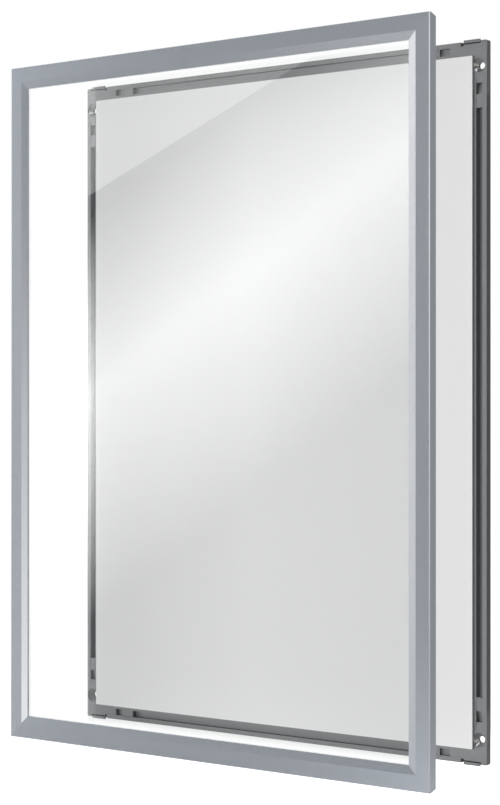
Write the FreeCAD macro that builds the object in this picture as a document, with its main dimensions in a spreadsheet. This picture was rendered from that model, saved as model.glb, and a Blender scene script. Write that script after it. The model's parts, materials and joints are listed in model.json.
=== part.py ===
"""Snap frame for an A2 sheet: a mitred fascia with a clear pane, pulled off a back that is screwed to a wall.

The back lies on the wall at Y = 0 and faces -Y, +X is to the viewer's right and +Z is up.
The origin is the centre of the four wall screws, on the wall plane.
Each bar's section is drawn with its outer edge at 0 and grows inwards, and each corner piece is drawn
for the bottom left corner and mirrored to the other three.
"""
import FreeCAD, Part
import os
import re

import Sketcher
from FreeCAD import Placement, Rotation, Vector

# Driving sizes in millimetres: name, value, meaning
SIZES = (
    ("poster_width", 420.0, "sheet that the frame takes, across"),
    ("poster_height", 594.0, "sheet that the frame takes, up"),
    ("poster_gap", 0.3, "room for the sheet between the panel and the pane"),
    ("panel_thick", 3.0, "backing panel"),
    ("panel_proud", 2.0, "panel's face in front of the back frame's face"),
    ("panel_gap", 0.15, "panel's edge to the frame around it"),
    ("back_depth", 6.8, "back frame, wall to face"),
    ("rail_face", 12.85, "back frame, outer edge to inner edge"),
    ("rim_width", 4.2, "back frame, outer edge to channel"),
    ("channel_width", 6.1, "rail's open channel"),
    ("channel_floor", 1.6, "rail's wall behind the channel"),
    ("chamber_wall", 1.2, "walls round the rail's hollow chamber"),
    ("seat_reach", 6.0, "ledge behind the panel's edge"),
    ("seat_thick", 1.6, "thickness of that ledge"),
    ("corner_leg", 46.5, "corner moulding's leg, up to the rail's end"),
    ("corner_round", 1.2, "outer corner radius of the back frame"),
    ("front_round", 0.4, "back frame's outer front edge"),
    ("spigot_length", 11.2, "spigot that plugs the rail's channel"),
    ("spigot_fit", 0.15, "spigot to channel, each side"),
    ("spigot_step", 0.2, "spigot's face behind the frame's face"),
    ("pocket_start", 36.4, "peg pocket, from the corner's outer edge"),
    ("pocket_length", 9.6, "peg pocket along the leg"),
    ("pocket_near", 4.6, "peg pocket's depth at its end near the corner"),
    ("pocket_far", 2.7, "peg pocket's depth at its other end"),
    ("ramp_length", 6.0, "lead-in ramp beside the pocket"),
    ("ramp_drop", 0.5, "ramp's depth at the pocket"),
    ("core_wall", 1.6, "walls left round the moulding's rear cores"),
    ("core_depth", 1.0, "rear cores"),
    ("core_rib", 1.4, "rib between two rear cores"),
    ("core_start", 30.0, "rear cores, from the corner's outer edge"),
    ("screw_side", 7.0, "wall screw, from the frame's side edge"),
    ("screw_end", 21.2, "wall screw, from the frame's top or bottom edge"),
    ("screw_bore", 5.8, "wall screw hole, diameter"),
    ("screw_sink", 12.6, "recess for the screw's head, diameter"),
    ("screw_land", 0.9, "straight part of that recess"),
    ("tongue_start", 6.6, "snap tongue, from the frame's side edge"),
    ("tongue_length", 16.0, "snap tongue along the edge"),
    ("tongue_thick", 1.0, "snap tongue"),
    ("tongue_inset", 0.3, "snap tongue's outer face behind the frame's edge"),
    ("tongue_slot", 1.1, "slot that the tongue bends into"),
    ("tongue_gap", 1.0, "gap at the tongue's end next to the corner, along the edge"),
    ("tongue_notch", 2.6, "notch at the tongue's other end, along the edge"),
    ("notch_depth", 3.7, "that notch, from the frame's edge"),
    ("root_height", 1.4, "tongue's root, from the wall"),
    ("root_fit", 0.05, "round root to its groove"),
    ("nose_reach", 1.4, "tongue's nose beyond the frame's edge"),
    ("nose_tip", 0.6, "nose beyond the edge at the frame's face"),
    ("nose_lead", 0.6, "depth of the nose's front slope"),
    ("nose_land", 0.3, "depth of the nose's flat"),
    ("nose_back", 0.8, "depth of the nose's rear slope"),
    ("wall_thick", 1.4, "fascia's outer wall"),
    ("wall_slant", 1.8, "how far that wall leans inwards from front to rear"),
    ("rear_clear", 0.3, "fascia's rear edge to the wall plane, frame closed"),
    ("flange_thick", 1.5, "fascia's face"),
    ("face_width", 13.6, "fascia's flat face"),
    ("bevel_width", 7.1, "fascia's inner bevel"),
    ("bevel_drop", 1.0, "fall of that bevel"),
    ("inner_lip", 1.7, "depth of the fascia's inner edge"),
    ("edge_round", 0.5, "fascia's outer front edge"),
    ("small_round", 0.3, "fascia's other outer edges"),
    ("catch_reach", 1.58, "fascia's catch lip, from its outer wall inwards"),
    ("catch_thick", 1.0, "catch lip"),
    ("catch_gap", 0.25, "catch lip to the nose behind which it snaps"),
    ("catch_room", 0.8, "catch lip's tip to the back frame's edge"),
    ("pane_thick", 1.0, "clear pane"),
    ("pane_fit", 0.1, "pane to its groove, each face"),
    ("pane_edge_fit", 0.2, "pane's edge to the bottom of its groove"),
    ("pane_lip", 1.7, "lip behind the pane's edge"),
    ("web_thick", 0.8, "web between the pane groove and the key channel"),
    ("nest_gap", 0.3, "that lip to the backing panel's edge"),
    ("ledge_reach", 1.2, "ledges behind the corner keys"),
    ("ledge_thick", 0.8, "ledges and pane lip"),
    ("key_leg", 62.0, "corner key, from the fascia's outer edge"),
    ("key_fit", 0.1, "corner key to its channel"),
    ("peg_fit", 0.3, "peg to its pocket, along the leg"),
    ("peg_width", 3.4, "peg across the leg"),
    ("peg_reach", 1.8, "peg inside its pocket, frame closed"),
    ("peg_chamfer", 0.6, "lead-in at the peg's end"),
    ("grub_bore", 4.0, "threaded hole in the key, diameter"),
    ("grub_fit", 0.05, "grub screw to its hole"),
    ("grub_length", 2.6, "grub screw"),
    ("grub_at", 30.0, "grub screw, from the fascia's outer edge"),
    ("grub_slot", 0.7, "screwdriver slot, across"),
    ("grub_slot_depth", 0.8, "screwdriver slot, deep"),
    ("lift_off", 99.0, "fascia pulled off the back, as shown"),
)

# Sizes that follow from the driving ones
WORKED_OUT = {
    "back_width": "poster_width + 2 * (panel_gap + rail_face)",
    "back_height": "poster_height + 2 * (panel_gap + rail_face)",
    "seat_height": "back_depth + panel_proud - panel_thick",
    "fascia_inset": "wall_thick + wall_rake * catch_rear + catch_reach + catch_room",
    "fascia_width": "back_width + 2 * fascia_inset",
    "fascia_height": "back_height + 2 * fascia_inset",
    "member_width": "face_width + bevel_width",
    "groove_front": "bevel_drop + inner_lip",
    "groove_rear": "groove_front + pane_thick + 2 * pane_fit",
    "pane_lip_tip": "fascia_inset + rail_face + panel_gap - nest_gap",
    "groove_bottom": "pane_lip_tip - pane_lip",
    "web_start": "groove_bottom - web_thick",
    "pane_inset": "groove_bottom + pane_edge_fit",
    "closed_front": "back_depth + panel_proud + poster_gap + groove_rear - pane_fit",
    "nose_rise": "nose_reach + tongue_inset",
    "catch_height": "back_depth - nose_lead - nose_land - nose_back * (nose_reach - catch_room) / nose_rise",
    "catch_front": "closed_front - catch_height + catch_gap",
    "catch_rear": "catch_front + catch_thick",
    "fascia_depth": "closed_front - rear_clear",
    "wall_rake": "wall_slant / fascia_depth",
    "ledge_rear": "groove_rear + ledge_thick",
    "key_side": "wall_thick + wall_rake * ledge_rear",
    "fascia_front": "closed_front + lift_off",
    "key_thick": "groove_rear - flange_thick - 2 * key_fit",
    "key_rear": "groove_rear - key_fit",
    "channel_middle": "rim_width + channel_width / 2",
    "tongue_inner": "tongue_inset + tongue_thick",
    "tongue_axis": "tongue_inset + tongue_thick / 2",
}

ZERO = "0"
# How a section's sketch is turned on the YZ plane, so that both its axes grow into the section
FROM_THE_FRONT = Rotation(Vector(1, 0, 0), 180)
FROM_THE_WALL = Rotation(Vector(0, 0, 1), 180)
UNTURNED = Rotation()
# Each side of the frame: name, which length its bars follow, its turn about Y, its offset along X and Z
SIDES = (
    ("top", "width", 0, (0, 1)),
    ("right", "height", 90, (1, 0)),
    ("bottom", "width", 180, (0, -1)),
    ("left", "height", 270, (-1, 0)),
)
FIRST_CORNER = "bottom_left"
# The other corners: name, the corner that is mirrored, and the mirror plane's normal
MIRRORED_CORNERS = (
    ("bottom_right", "bottom_left", Vector(1, 0, 0)),
    ("top_left", "bottom_left", Vector(0, 0, 1)),
    ("top_right", "top_left", Vector(1, 0, 0)),
)
SAME_PLACE = 1e-4

doc = FreeCAD.newDocument("SnapFrame")
sub_parts = {}


def fill_sheet():
    """Write the driving sizes to the sheet, one row each with its alias."""
    sheet = doc.addObject("Spreadsheet::Sheet", "Sizes")
    for row, (name, size, meaning) in enumerate(SIZES, 1):
        sheet.set(f"A{row}", meaning)
        sheet.set(f"B{row}", str(size))
        sheet.setAlias(f"B{row}", name)
    doc.recompute()


def formula(text):
    """Spell out a formula on size names as an expression on the sheet's cells."""
    driving = {name for name, _, _ in SIZES}

    def spell(match):
        name = match.group(0)
        if name in WORKED_OUT:
            return f"({formula(WORKED_OUT[name])})"
        if name in driving:
            return f"Sizes.{name}"
        raise ValueError(f"no size is called {name}")

    return re.sub(r"[a-z_]+", spell, text)


def new_body(label):
    """Start a sub-part whose label names its file."""
    body = doc.addObject("PartDesign::Body", label)
    body.Label = label
    sub_parts[label] = body
    return body


def place(thing, x=ZERO, y=ZERO, z=ZERO, turn=0):
    """Put an object in the frame, turned about Y, at a place given by formulas."""
    thing.Placement = Placement(Vector(), Rotation(Vector(0, 1, 0), turn))
    for axis, text in (("x", x), ("y", y), ("z", z)):
        thing.setExpression(f"Placement.Base.{axis}", formula(text))


def origin_plane(body, role):
    """Find one of a body's own origin planes."""
    return next(plane for plane in body.Origin.OriginFeatures if plane.Role == role)


def new_sketch(body, name, role, offset=(ZERO, ZERO, ZERO), turn=UNTURNED):
    """Attach an empty sketch to an origin plane, moved by formulas along its own axes."""
    sketch = body.newObject("Sketcher::SketchObject", f"{body.Name}_{name}")
    sketch.AttachmentSupport = [(origin_plane(body, role), "")]
    sketch.MapMode = "FlatFace"
    sketch.AttachmentOffset = Placement(Vector(), turn)
    for axis, text in zip("xyz", offset):
        if text != ZERO:
            sketch.setExpression(f"AttachmentOffset.Base.{axis}", formula(text))
    return sketch


def bind(sketch, kind, index, point, text):
    """Hold one coordinate of a sketch point on a formula."""
    number = sketch.addConstraint(Sketcher.Constraint(kind, -1, 1, index, point, 1.0))
    name = f"{kind}_{index}_{point}"
    sketch.renameConstraint(number, name)
    sketch.setExpression(f"Constraints.{name}", formula(text))


def draw_outline(sketch, corners):
    """Draw a closed outline of straight lines whose corners are held on formulas."""
    first = sketch.GeometryCount
    count = len(corners)
    ring = [Rotation(Vector(0, 0, 1), 360 * step / count).multVec(Vector(1, 0, 0)) for step in range(count)]
    for step in range(count):
        sketch.addGeometry(Part.LineSegment(ring[step], ring[(step + 1) % count]), False)
    for step in range(count):
        following = first + (step + 1) % count
        sketch.addConstraint(Sketcher.Constraint("Coincident", first + step, 2, following, 1))
    for step, (across, up) in enumerate(corners):
        bind(sketch, "DistanceX", first + step, 1, across)
        bind(sketch, "DistanceY", first + step, 1, up)


def draw_rectangle(sketch, left, right, low, high):
    """Draw a rectangle between formulas."""
    draw_outline(sketch, ((left, low), (right, low), (right, high), (left, high)))


def draw_circle(sketch, across, up, diameter):
    """Draw a circle whose centre and diameter are held on formulas."""
    index = sketch.GeometryCount
    sketch.addGeometry(Part.Circle(Vector(1, 1, 0), Vector(0, 0, 1), 1), False)
    bind(sketch, "DistanceX", index, 3, across)
    bind(sketch, "DistanceY", index, 3, up)
    number = sketch.addConstraint(Sketcher.Constraint("Diameter", index, 2.0))
    sketch.renameConstraint(number, f"Diameter_{index}")
    sketch.setExpression(f"Constraints.Diameter_{index}", formula(diameter))


def pad(body, sketch, length, side="One side", backwards=False):
    """Raise a sketch into a solid."""
    feature = body.newObject("PartDesign::Pad", f"{sketch.Name}_pad")
    feature.Profile = sketch
    feature.SideType = side
    feature.Reversed = backwards
    feature.setExpression("Length", formula(length))
    doc.recompute()
    return feature


def cut(feature):
    """Finish a cutting feature and make sure that it took material away."""
    before = feature.BaseFeature.Shape.Volume
    doc.recompute()
    if feature.Shape.isNull() or feature.Shape.Volume > before - SAME_PLACE:
        raise RuntimeError(f"{feature.Name} cuts nothing")
    return feature


def pocket(body, sketch, depth, side="One side", backwards=False):
    """Cut a sketch into the solid, against the sketch's normal unless turned round."""
    feature = body.newObject("PartDesign::Pocket", f"{sketch.Name}_pocket")
    feature.Profile = sketch
    feature.SideType = side
    feature.Reversed = backwards
    feature.setExpression("Length", formula(depth))
    return cut(feature)


def groove(body, sketch):
    """Cut a half section right round the sketch's upright axis."""
    feature = body.newObject("PartDesign::Groove", f"{sketch.Name}_groove")
    feature.Profile = sketch
    feature.ReferenceAxis = (sketch, ["V_Axis"])
    feature.Angle = 360
    return cut(feature)


def edges_from(feature, sketch, corners):
    """Name the edges that run from an outline's corners along its sketch's normal."""
    along = sketch.Placement.Rotation.multVec(Vector(0, 0, 1))
    starts = [sketch.Placement.multVec(sketch.Geometry[corner].StartPoint) for corner in corners]
    names = []
    for number, edge in enumerate(feature.Shape.Edges, 1):
        straight = edge.Curve.TypeId == "Part::GeomLine"
        if straight and abs(edge.Curve.Direction.dot(along)) > 1 - SAME_PLACE:
            away = [(start - edge.Vertexes[0].Point).cross(along).Length for start in starts]
            if min(away) < SAME_PLACE:
                names.append(f"Edge{number}")
    return names


def outer_front_edges(feature):
    """Name the edges of a corner block's face, towards -Y, that lie along its outer sides."""
    box = feature.Shape.BoundBox
    names = []
    for number, edge in enumerate(feature.Shape.Edges, 1):
        on_face = edge.BoundBox.YMax < box.YMin + SAME_PLACE
        on_outside = min(edge.BoundBox.XMin - box.XMin, edge.BoundBox.ZMin - box.ZMin) < SAME_PLACE
        along_leg = min(edge.BoundBox.XMax - box.XMin, edge.BoundBox.ZMax - box.ZMin) < edge.Length / 2
        if on_face and on_outside and (along_leg or edge.Curve.TypeId == "Part::GeomCircle"):
            names.append(f"Edge{number}")
    return names


def edges_at_rear(feature):
    """Name the edges that lie on the rearmost plane of a solid, towards +Y."""
    rear = feature.Shape.BoundBox.YMax
    return [
        f"Edge{number}"
        for number, edge in enumerate(feature.Shape.Edges, 1)
        if edge.BoundBox.YMin > rear - SAME_PLACE
    ]


def ease_edges(body, base, edges, kind, size_property, size):
    """Round or chamfer named edges by a size."""
    feature = body.newObject(f"PartDesign::{kind}", f"{base.Name}_{kind.lower()}_{size}")
    feature.Base = (base, edges)
    feature.setExpression(size_property, formula(size))
    doc.recompute()
    return feature


def mirror_corners(name):
    """Mirror a finished bottom left piece to the other three corners."""
    for corner, source, normal in MIRRORED_CORNERS:
        label = f"{name}_{corner}"
        mirrored = doc.addObject("Part::Mirroring", label)
        mirrored.Label = label
        mirrored.Source = sub_parts[f"{name}_{source}"]
        mirrored.Normal = normal
        sub_parts[label] = mirrored
    doc.recompute()


def side_offset(steps, frame):
    """Give the X and Z formulas of a side's outer edge from the frame's middle."""
    return [
        f"{step} * {frame}_{size} / 2" if step else ZERO
        for step, size in zip(steps, ("width", "height"))
    ]


def build_fascia_side(side, size, turn, steps):
    """Extrude one length of the fascia's section, round its edges and mitre its ends.

    The section is drawn as depth behind the fascia's face and distance from its outer edge. The outer
    wall leans inwards, square only beside the corner key, and its skirt runs on past the catch lip.
    """
    body = new_body(f"fascia_{side}")
    section = new_sketch(body, "section", "YZ_Plane", turn=FROM_THE_FRONT)
    key_ledge = "key_side + ledge_reach"
    catch_tip = "fascia_inset - catch_room"
    outline = (
        (ZERO, ZERO),
        (ZERO, "face_width"),
        ("bevel_drop", "member_width"),
        ("groove_front", "member_width"),
        ("groove_front", "groove_bottom"),
        ("groove_rear", "groove_bottom"),
        ("groove_rear", "pane_lip_tip"),
        ("ledge_rear", "pane_lip_tip"),
        ("ledge_rear", "web_start - ledge_reach"),
        ("groove_rear", "web_start - ledge_reach"),
        ("groove_rear", "web_start"),
        ("flange_thick", "web_start"),
        ("flange_thick", "key_side"),
        ("groove_rear", "key_side"),
        ("groove_rear", key_ledge),
        ("ledge_rear", key_ledge),
        ("ledge_rear", "key_side"),
        ("catch_front", "wall_thick + wall_rake * catch_front"),
        ("catch_front", catch_tip),
        ("catch_rear", catch_tip),
        ("catch_rear", "wall_thick + wall_rake * catch_rear"),
        ("fascia_depth", "wall_thick + wall_slant"),
        ("fascia_depth", "wall_slant"),
    )
    front_edge = 0
    lip_edges = (2, 3)
    catch_and_rear_edges = (19, 21, 22)
    draw_outline(section, outline)
    bar = pad(body, section, f"fascia_{size}", side="Symmetric")
    bar = ease_edges(body, bar, edges_from(bar, section, (front_edge,)), "Fillet", "Radius", "edge_round")
    soft = edges_from(bar, section, lip_edges + catch_and_rear_edges)
    ease_edges(body, bar, soft, "Fillet", "Radius", "small_round")

    mitre = new_sketch(body, "mitre", "XZ_Plane")
    end = f"fascia_{size} / 2"
    past = "2 * member_width"
    draw_outline(mitre, (
        (f"{end} + {past}", past),
        (f"{end} - {past}", f"-{past}"),
        (f"{end} + {past}", f"-{past}"),
    ))
    one_end = pocket(body, mitre, "4 * fascia_depth", side="Symmetric")
    both_ends = body.newObject("PartDesign::Mirrored", f"{body.Name}_other_mitre")
    both_ends.Originals = [one_end]
    both_ends.MirrorPlane = (origin_plane(body, "YZ_Plane"), [""])
    body.Tip = both_ends
    x, z = side_offset(steps, "fascia")
    place(body, x, "-fascia_front", z, turn)


def build_back_rail(side, size, turn, steps):
    """Extrude one rail of the back: a hollow outer rim, an open channel and a ledge for the panel.

    The section is drawn as height from the wall and distance from the rail's outer edge.
    """
    body = new_body(f"back_rail_{side}")
    section = new_sketch(body, "section", "YZ_Plane", turn=FROM_THE_WALL)
    channel_end = "rim_width + channel_width"
    seat_rear = "seat_height - seat_thick"
    seat_end = "rail_face + seat_reach"
    draw_outline(section, (
        (ZERO, ZERO),
        ("back_depth", ZERO),
        ("back_depth", "rim_width"),
        ("channel_floor", "rim_width"),
        ("channel_floor", channel_end),
        ("back_depth", channel_end),
        ("back_depth", "rail_face"),
        ("seat_height", "rail_face"),
        ("seat_height", seat_end),
        (seat_rear, seat_end),
        (seat_rear, "rail_face"),
        (ZERO, "rail_face"),
    ))
    outer_front = 1
    inside = "rim_width - chamber_wall"
    draw_rectangle(section, "chamber_wall", "back_depth - chamber_wall", "chamber_wall", inside)
    bar = pad(body, section, f"back_{size} - 2 * corner_leg", side="Symmetric")
    ease_edges(body, bar, edges_from(bar, section, (outer_front,)), "Fillet", "Radius", "front_round")
    x, z = side_offset(steps, "back")
    place(body, x, ZERO, z, turn)


def build_back_corner():
    """Mould a corner of the back: an L with spigots, peg pockets, a screw hole and the tongue's recess."""
    body = new_body(f"back_corner_{FIRST_CORNER}")
    legs = new_sketch(body, "legs", "XZ_Plane")
    draw_outline(legs, (
        (ZERO, ZERO),
        ("corner_leg", ZERO),
        ("corner_leg", "rail_face"),
        ("rail_face", "rail_face"),
        ("rail_face", "corner_leg"),
        (ZERO, "corner_leg"),
    ))
    outer_corner = 0
    block = pad(body, legs, "back_depth")
    upright_edge = edges_from(block, legs, (outer_corner,))
    block = ease_edges(body, block, upright_edge, "Fillet", "Radius", "corner_round")
    ease_edges(body, block, outer_front_edges(block), "Fillet", "Radius", "front_round")

    seat = new_sketch(body, "seat", "XZ_Plane", offset=(ZERO, ZERO, "seat_height - seat_thick"))
    seat_end = "rail_face + seat_reach"
    draw_outline(seat, (
        ("rail_face", "rail_face"),
        ("corner_leg", "rail_face"),
        ("corner_leg", seat_end),
        (seat_end, seat_end),
        (seat_end, "corner_leg"),
        ("rail_face", "corner_leg"),
    ))
    pad(body, seat, "seat_thick")

    spigots = new_sketch(body, "spigots", "XZ_Plane", offset=(ZERO, ZERO, "channel_floor + spigot_fit"))
    spigot_run = ("corner_leg", "corner_leg + spigot_length")
    spigot_side = ("rim_width + spigot_fit", "rim_width + channel_width - spigot_fit")
    draw_rectangle(spigots, *spigot_run, *spigot_side)
    draw_rectangle(spigots, *spigot_side, *spigot_run)
    pad(body, spigots, "back_depth - channel_floor - spigot_fit - spigot_step")

    pocket_end = "pocket_start + pocket_length"
    run_and_height = (
        ("pocket_start - ramp_length", "-back_depth"),
        ("pocket_start", "ramp_drop - back_depth"),
        ("pocket_start", "pocket_near - back_depth"),
        (pocket_end, "pocket_far - back_depth"),
        (pocket_end, "-back_depth"),
    )
    along = new_sketch(body, "pocket_along", "XY_Plane", offset=(ZERO, ZERO, "channel_middle"))
    draw_outline(along, run_and_height)
    pocket(body, along, "channel_width", side="Symmetric")
    upright = new_sketch(body, "pocket_upright", "YZ_Plane", offset=(ZERO, ZERO, "channel_middle"))
    draw_outline(upright, [(height, run) for run, height in run_and_height])
    pocket(body, upright, "channel_width", side="Symmetric")

    hole = new_sketch(body, "hole", "XY_Plane", offset=("screw_side", ZERO, "screw_end"))
    draw_outline(hole, (
        (ZERO, ZERO),
        ("screw_bore / 2", ZERO),
        ("screw_bore / 2", "screw_land + (screw_sink - screw_bore) / 2 - back_depth"),
        ("screw_sink / 2", "screw_land - back_depth"),
        ("screw_sink / 2", "-back_depth"),
        (ZERO, "-back_depth"),
    ))
    groove(body, hole)

    recess = new_sketch(body, "recess", "XZ_Plane", offset=(ZERO, ZERO, "back_depth"))
    tongue_end = "tongue_start + tongue_length"
    recess_start = "tongue_start - tongue_gap"
    slot_bottom = "tongue_inner + tongue_slot"
    draw_outline(recess, (
        (recess_start, ZERO),
        (f"{tongue_end} + tongue_notch", ZERO),
        (f"{tongue_end} + tongue_notch", "notch_depth"),
        (tongue_end, "notch_depth"),
        (tongue_end, slot_bottom),
        (recess_start, slot_bottom),
    ))
    pocket(body, recess, "back_depth - root_height")
    root = new_sketch(body, "root", "YZ_Plane", offset=(ZERO, ZERO, recess_start))
    draw_circle(root, "-root_height", "tongue_axis", "tongue_thick + 2 * root_fit")
    pocket(body, root, "tongue_gap + tongue_length + tongue_notch", backwards=True)

    cores = new_sketch(body, "cores", "XZ_Plane")
    core_side = ("core_wall", "rail_face - core_wall")
    middle = "(core_start + corner_leg - core_wall) / 2"
    near_core = ("core_start", f"{middle} - core_rib / 2")
    far_core = (f"{middle} + core_rib / 2", "corner_leg - core_wall")
    for run in (near_core, far_core):
        draw_rectangle(cores, *run, *core_side)
        draw_rectangle(cores, *core_side, *run)
    pocket(body, cores, "core_depth", backwards=True)
    place(body, "-back_width / 2", ZERO, "-back_height / 2")


def build_snap_tongue():
    """Mould a snap tongue: a springy plate with a round root and a nose that catches the fascia.

    The section is drawn as height from the wall and distance inwards from the frame's edge.
    """
    body = new_body(f"snap_tongue_{FIRST_CORNER}")
    plate = new_sketch(body, "plate", "YZ_Plane", offset=(ZERO, ZERO, "tongue_start"))
    nose_front = "nose_lead - back_depth"
    nose_rear = "nose_lead + nose_land - back_depth"
    draw_outline(plate, (
        ("-root_height", "tongue_inset"),
        ("nose_lead + nose_land + nose_back - back_depth", "tongue_inset"),
        (nose_rear, "-nose_reach"),
        (nose_front, "-nose_reach"),
        ("-back_depth", "-nose_tip"),
        ("-back_depth", "tongue_inner"),
        ("-root_height", "tongue_inner"),
    ))
    pad(body, plate, "tongue_length")
    root = new_sketch(body, "root", "YZ_Plane", offset=(ZERO, ZERO, "tongue_start"))
    draw_circle(root, "-root_height", "tongue_axis", "tongue_thick")
    pad(body, root, "tongue_length")
    place(body, "-back_width / 2", ZERO, "-back_height / 2")


def build_backing_panel():
    """Cut the white panel that the sheet lies on."""
    body = new_body("backing_panel")
    sheet = new_sketch(body, "sheet", "XZ_Plane", offset=(ZERO, ZERO, "seat_height"))
    draw_rectangle(sheet, "-poster_width / 2", "poster_width / 2", "-poster_height / 2", "poster_height / 2")
    pad(body, sheet, "panel_thick")
    place(body)


def build_clear_pane():
    """Cut the clear pane that lies in the fascia's groove."""
    body = new_body("clear_pane")
    sheet = new_sketch(body, "sheet", "XZ_Plane", offset=(ZERO, ZERO, "-(groove_front + pane_fit)"))
    across = "(fascia_width / 2 - pane_inset)"
    up = "(fascia_height / 2 - pane_inset)"
    draw_rectangle(sheet, f"-{across}", across, f"-{up}", up)
    pad(body, sheet, "pane_thick", backwards=True)
    place(body, y="-fascia_front")


def build_corner_key():
    """Cast a flat L key for a mitre, with a peg and a threaded hole on each leg."""
    body = new_body(f"corner_key_{FIRST_CORNER}")
    legs = new_sketch(body, "legs", "XZ_Plane", offset=(ZERO, ZERO, "-key_rear"))
    outer = "key_side + key_fit"
    inner = "web_start - key_fit"
    draw_outline(legs, (
        (outer, outer),
        ("key_leg", outer),
        ("key_leg", inner),
        (inner, inner),
        (inner, "key_leg"),
        (outer, "key_leg"),
    ))
    pad(body, legs, "key_thick")

    holes = new_sketch(body, "holes", "XZ_Plane", offset=(ZERO, ZERO, "-key_rear"))
    middle = "(key_side + web_start) / 2"
    draw_circle(holes, "grub_at", middle, "grub_bore")
    draw_circle(holes, middle, "grub_at", "grub_bore")
    pocket(body, holes, "key_thick", backwards=True)

    pegs = new_sketch(body, "pegs", "XZ_Plane", offset=(ZERO, ZERO, "-key_rear"))
    peg_start = "fascia_inset + pocket_start + peg_fit"
    peg_run = (peg_start, f"{peg_start} + pocket_length - 2 * peg_fit")
    peg_middle = "fascia_inset + channel_middle"
    peg_side = (f"{peg_middle} - peg_width / 2", f"{peg_middle} + peg_width / 2")
    draw_rectangle(pegs, *peg_run, *peg_side)
    draw_rectangle(pegs, *peg_side, *peg_run)
    tall = pad(body, pegs, "closed_front - back_depth + peg_reach - key_rear", backwards=True)
    ease_edges(body, tall, edges_at_rear(tall), "Chamfer", "Size", "peg_chamfer")
    place(body, "-fascia_width / 2", "-fascia_front", "-fascia_height / 2")


def build_key_screw(number, x, z):
    """Turn one slotted grub screw that bears on the back of the fascia's face."""
    screw = doc.addObject("Part::Cylinder", f"grub_{number}")
    screw.setExpression("Radius", formula("grub_bore / 2 - grub_fit"))
    screw.setExpression("Height", formula("grub_length"))
    slot = doc.addObject("Part::Box", f"grub_{number}_slot")
    slot.setExpression("Length", formula("grub_bore"))
    slot.setExpression("Width", formula("grub_slot"))
    slot.setExpression("Height", formula("grub_slot_depth"))
    slot.setExpression("Placement.Base.x", formula("-grub_bore / 2"))
    slot.setExpression("Placement.Base.y", formula("-grub_slot / 2"))
    slot.setExpression("Placement.Base.z", formula("grub_length - grub_slot_depth"))
    slotted = doc.addObject("Part::Cut", f"grub_{number}_slotted")
    slotted.Base = screw
    slotted.Tool = slot
    place(slotted, x, "flange_thick - fascia_front", z)
    slotted.Placement = Placement(slotted.Placement.Base, Rotation(Vector(1, 0, 0), -90))
    return slotted


def build_key_screws():
    """Put one grub screw in each leg of the four keys."""
    along = "(fascia_{} / 2 - grub_at)"
    aside = "(fascia_{} / 2 - (key_side + web_start) / 2)"
    screws = []
    for across, up in ((along, aside), (aside, along)):
        for right in (1, -1):
            for high in (1, -1):
                x = f"{right} * {across.format('width')}"
                z = f"{high} * {up.format('height')}"
                screws.append(build_key_screw(len(screws) + 1, x, z))
    group = doc.addObject("Part::Compound", "key_screws")
    group.Label = "key_screws"
    group.Links = screws
    sub_parts["key_screws"] = group
    doc.recompute()


def check_model():
    """Stop if any object failed or any sub-part has no sound solid."""
    for thing in doc.Objects:
        if {"Invalid", "Error"} & set(thing.State):
            raise RuntimeError(f"{thing.Name} failed: {thing.State}")
    for label, thing in sub_parts.items():
        if thing.Shape.isNull() or not thing.Shape.isValid() or not thing.Shape.Solids:
            raise RuntimeError(f"{label} has no sound solid")


def write_parts():
    """Write each sub-part to its own file."""
    os.makedirs("parts", exist_ok=True)
    for label, thing in sub_parts.items():
        thing.Shape.exportStep(f"parts/{label}.step")
        print(label, len(thing.Shape.Solids), round(thing.Shape.Volume, 2))


fill_sheet()
for frame_side in SIDES:
    build_fascia_side(*frame_side)
    build_back_rail(*frame_side)
build_clear_pane()
build_corner_key()
mirror_corners("corner_key")
build_key_screws()
build_backing_panel()
build_back_corner()
mirror_corners("back_corner")
build_snap_tongue()
mirror_corners("snap_tongue")
doc.recompute()
check_model()
write_parts()
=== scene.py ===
"""Looks of a snap frame for A2 sheets, built around its CAD model.

The frame is shown taken apart, as a shop shows it: the satin fascia with its clear pane stands off
the grey back that is screwed to the wall. Lengths are metres in the CAD model's own frame, where
the wall is the plane y = 0, the front faces -Y and +Z is up.
"""

import json
import logging
import math
from collections.abc import Callable, Mapping
from dataclasses import dataclass
from enum import Enum

import bpy
from mathutils import Matrix, Vector


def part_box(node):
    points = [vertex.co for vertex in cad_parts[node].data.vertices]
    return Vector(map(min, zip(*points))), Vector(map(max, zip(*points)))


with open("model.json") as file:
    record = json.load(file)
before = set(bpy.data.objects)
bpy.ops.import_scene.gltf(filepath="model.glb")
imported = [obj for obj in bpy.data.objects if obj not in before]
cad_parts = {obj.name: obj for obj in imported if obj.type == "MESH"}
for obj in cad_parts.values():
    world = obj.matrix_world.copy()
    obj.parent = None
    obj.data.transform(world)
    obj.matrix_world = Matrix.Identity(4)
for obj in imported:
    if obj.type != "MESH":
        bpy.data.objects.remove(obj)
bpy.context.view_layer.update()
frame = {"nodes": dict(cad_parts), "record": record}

LOG = logging.getLogger("snap_frame")

Pair = tuple[float, float]
Colour = tuple[float, float, float]
Point = tuple[float, float, float]
Socket = bpy.types.NodeSocket
SocketValue = float | Colour | Socket

MILLIMETRE = 0.001
WHITE: Colour = (1.0, 1.0, 1.0)
WARM_WHITE: Colour = (1.0, 0.93, 0.84)
RISING: Pair = (0.0, 1.0)
FALLING: Pair = (1.0, 0.0)
GRAIN_SCALE = 0.012


class Side(Enum):
    """The four bars or rails, by the word that ends their node names."""

    TOP = "top"
    BOTTOM = "bottom"
    LEFT = "left"
    RIGHT = "right"

    @property
    def lies_flat(self) -> bool:
        """Whether the length runs along X, and not along Z."""
        return self in (Side.TOP, Side.BOTTOM)


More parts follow.
